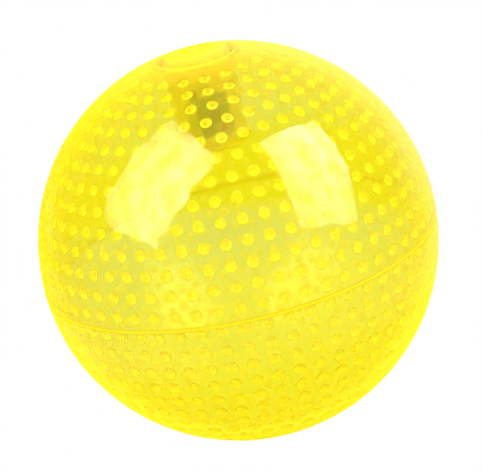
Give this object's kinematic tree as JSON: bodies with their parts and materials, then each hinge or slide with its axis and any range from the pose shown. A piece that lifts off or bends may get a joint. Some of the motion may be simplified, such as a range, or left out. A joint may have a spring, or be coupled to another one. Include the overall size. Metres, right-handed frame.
{
  "type": "playground rubber ball",
  "caption": "Clear yellow light-up rubber bouncing ball: two nubbed half shells welded at the equator, a plugged pocket and a flasher module inside.",
  "frame": {"origin": "centre of the ball", "axes": "+Z runs out through the plug at the pole; the weld seam lies in the XY plane; the flasher board faces mostly -Y"},
  "size_m": [0.1004, 0.1004, 0.1],
  "materials": {
    "clear_yellow_rubber": "glossy, clear, thick-walled soft rubber",
    "weld_rubber": "satin raised bead, slightly paler than the wall",
    "dense_yellow_rubber": "satin, dense, nearly opaque",
    "board_laminate": "satin solder mask over glass-fibre laminate",
    "black_epoxy": "glossy poured epoxy",
    "led_case": "satin moulded",
    "blue_lens": "glossy clear epoxy",
    "red_lens": "glossy clear epoxy",
    "resistor_body": "glazed ceramic with tinned ends",
    "holder_plastic": "satin, natural, with dark adhesive on its top",
    "cell_steel": "bright nickel-plated steel",
    "gasket_nylon": "satin",
    "tinned_brass": "dull tin plate",
    "switch_plastic": "satin",
    "switch_brass": "bright drawn wire",
    "spring_wire": "bright phosphor-bronze wire"
  },
  "bodies": {
    "ball": {"upper_shell": "clear_yellow_rubber", "lower_shell": "clear_yellow_rubber", "seam_weld": "weld_rubber", "plug": "dense_yellow_rubber", "circuit_board": "board_laminate", "chip_blob": "black_epoxy", "led_blue_body": "led_case", "led_blue_lens": "blue_lens", "led_red_body": "led_case", "led_red_lens": "red_lens", "resistor": "resistor_body", "cell_holder": "holder_plastic", "front_cell_can": "cell_steel", "front_cell_gasket": "gasket_nylon", "front_cell_cap": "cell_steel", "rear_cell_can": "cell_steel", "rear_cell_gasket": "gasket_nylon", "rear_cell_cap": "cell_steel", "front_contact": "tinned_brass", "rear_contact": "tinned_brass", "switch_base": "switch_plastic", "switch_pin": "switch_brass"},
    "switch_coil": {"switch_spring": "spring_wire"}
  },
  "joints": [
    {"name": "switch_wobble", "type": "hinge", "parent": "ball", "child": "switch_coil", "pos_m": [-0.00196, -0.001, 0.0397], "axis": [0, 0, 1], "range_deg": [-7, 7], "stiffness_Nm_per_rad": 0.0000048}
  ]
}
